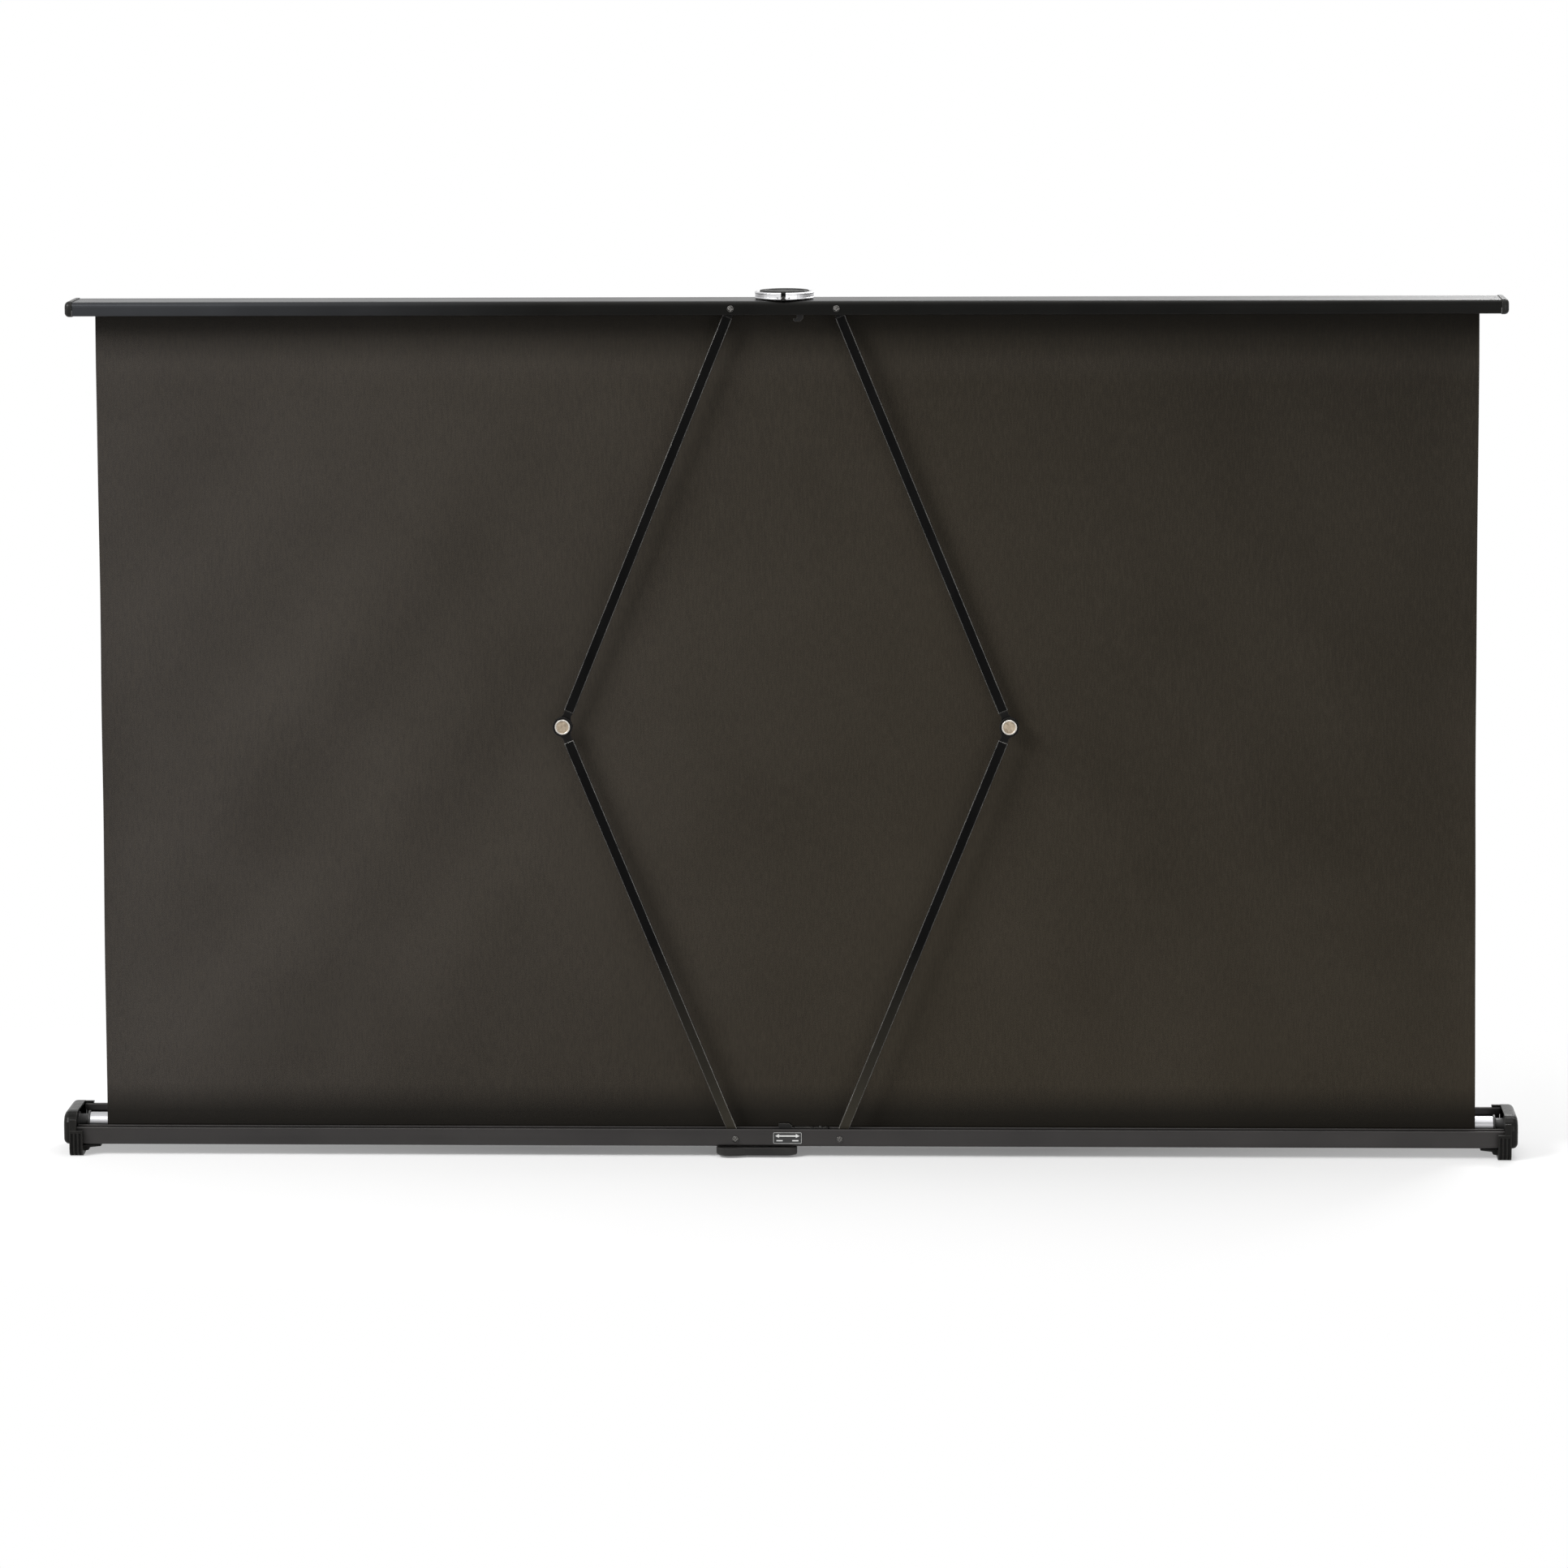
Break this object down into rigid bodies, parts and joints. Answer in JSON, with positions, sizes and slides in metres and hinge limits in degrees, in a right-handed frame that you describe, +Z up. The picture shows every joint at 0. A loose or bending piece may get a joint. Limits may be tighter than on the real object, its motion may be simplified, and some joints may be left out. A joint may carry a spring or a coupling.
{
  "type": "projection screen",
  "caption": "Table-top pull-up projection screen: a low case with a spring roller, cloth, and a top bar on a folding back frame.",
  "frame": {"origin": "on the bench, in the middle of the box round the open screen", "axes": "+X along the case to the right as seen from the back, +Y from the back to the white side, +Z up"},
  "size_m": [1.216, 0.1318, 0.7234],
  "materials": {
    "case_aluminium": "black anodised, satin",
    "cap_plastic": "dark grey moulded plastic, fine grain",
    "arm_aluminium": "black coated, satin",
    "fitting_black": "black coated steel",
    "bearing_plastic": "black moulded plastic",
    "zinc_steel": "zinc-plated steel",
    "rivet_metal": "bright rim, dull dished centre",
    "roller_aluminium": "bare drawn tube",
    "ring_metal": "satin silver",
    "cloth": "dark backing of a coated white cloth, fine weave",
    "rubber": "matt"
  },
  "bodies": {
    "case": {"case_channel": "case_aluminium", "case_cap_left": "cap_plastic", "case_cap_right": "cap_plastic", "case_cap_screw_left": "zinc_steel", "case_cap_screw_right": "zinc_steel", "roller_bearing_left": "bearing_plastic", "roller_bearing_right": "bearing_plastic", "lower_pivot_screw_left": "fitting_black", "lower_pivot_screw_right": "fitting_black", "lower_pivot_bush_left": "zinc_steel", "lower_pivot_bush_right": "zinc_steel", "lower_pivot_nut_left": "zinc_steel", "lower_pivot_nut_right": "zinc_steel", "foot_screw_left": "zinc_steel", "foot_screw_right": "zinc_steel", "spring_shaft": "zinc_steel", "lock_guide_pin": "zinc_steel", "screen_cloth": "cloth"},
    "roller": {"roller_tube": "roller_aluminium", "roller_plug_left": "bearing_plastic", "roller_plug_right": "bearing_plastic", "motor_spring": "zinc_steel"},
    "lock": {"lock_slide": "fitting_black", "lock_handle": "cap_plastic"},
    "foot_left": {"foot_left": "cap_plastic", "foot_pad_left": "rubber"},
    "foot_right": {"foot_right": "cap_plastic", "foot_pad_right": "rubber"},
    "lower_arm_left": {"lower_arm_left": "arm_aluminium", "lower_arm_eye_left": "fitting_black", "lower_knee_hub_left": "fitting_black", "knee_rivet_left": "rivet_metal"},
    "upper_arm_left": {"upper_arm_left": "arm_aluminium", "upper_arm_eye_left": "fitting_black", "upper_knee_hub_left": "fitting_black"},
    "lower_arm_right": {"lower_arm_right": "arm_aluminium", "lower_arm_eye_right": "fitting_black", "lower_knee_hub_right": "fitting_black", "knee_rivet_right": "rivet_metal"},
    "upper_arm_right": {"upper_arm_right": "arm_aluminium", "upper_arm_eye_right": "fitting_black", "upper_knee_hub_right": "fitting_black"},
    "top_bar": {"top_bar": "case_aluminium", "bar_cap_left": "cap_plastic", "bar_cap_right": "cap_plastic", "upper_pivot_screw_left": "fitting_black", "upper_pivot_screw_right": "fitting_black", "upper_pivot_bush_left": "zinc_steel", "upper_pivot_bush_right": "zinc_steel", "upper_pivot_nut_left": "zinc_steel", "upper_pivot_nut_right": "zinc_steel", "cloth_clamp": "arm_aluminium", "latch_tongue": "fitting_black", "pull_base": "bearing_plastic", "pull_cap": "bearing_plastic", "pull_pin": "zinc_steel"},
    "pull_ring": {"pull_ring": "ring_metal"}
  },
  "joints": [
    {"name": "fold", "type": "hinge", "parent": "case", "child": "lower_arm_left", "pos_m": [-0.0435, -0.05911, 0.0152], "axis": [0, -1, 0], "range_deg": [0, 66.67], "deforming": ["screen_cloth"]},
    {"name": "knee_left", "type": "hinge", "parent": "lower_arm_left", "child": "upper_arm_left", "pos_m": [-0.18519, -0.05911, 0.3624], "axis": [0, 1, 0], "range_deg": [0, 133.34]},
    {"name": "bar_level", "type": "hinge", "parent": "upper_arm_left", "child": "top_bar", "pos_m": [-0.0435, -0.05911, 0.7096], "axis": [0, -1, 0], "range_deg": [0, 66.67]},
    {"name": "fold_right", "type": "hinge", "parent": "case", "child": "lower_arm_right", "pos_m": [0.0435, -0.05911, 0.0152], "axis": [0, 1, 0], "range_deg": [0, 66.67]},
    {"name": "knee_right", "type": "hinge", "parent": "lower_arm_right", "child": "upper_arm_right", "pos_m": [0.18519, -0.05911, 0.3624], "axis": [0, -1, 0], "range_deg": [0, 133.34]},
    {"name": "roller_turn", "type": "hinge", "parent": "case", "child": "roller", "pos_m": [0, -0.03011, 0.0226], "axis": [1, 0, 0], "range_deg": [0, 4000.2]},
    {"name": "lock_slide", "type": "slide", "parent": "case", "child": "lock", "axis": [1, 0, 0], "range_m": [-0.004, 0.004]},
    {"name": "foot_swing_left", "type": "hinge", "parent": "case", "child": "foot_left", "pos_m": [-0.5965, -0.04411, 0], "axis": [0, 0, -1], "range_deg": [0, 90]},
    {"name": "foot_swing_right", "type": "hinge", "parent": "case", "child": "foot_right", "pos_m": [0.5965, -0.04411, 0], "axis": [0, 0, 1], "range_deg": [0, 90]},
    {"name": "ring_lift", "type": "hinge", "parent": "top_bar", "child": "pull_ring", "pos_m": [0, -0.05756, 0.718], "axis": [1, 0, 0], "range_deg": [0, 90]}
  ],
  "couplings": [
    {"joint": "knee_left", "follows": "fold", "ratio": 2},
    {"joint": "bar_level", "follows": "fold", "ratio": 1},
    {"joint": "fold_right", "follows": "fold", "ratio": 1},
    {"joint": "knee_right", "follows": "fold", "ratio": 2},
    {"joint": "roller_turn", "follows": "fold", "ratio": 60}
  ]
}
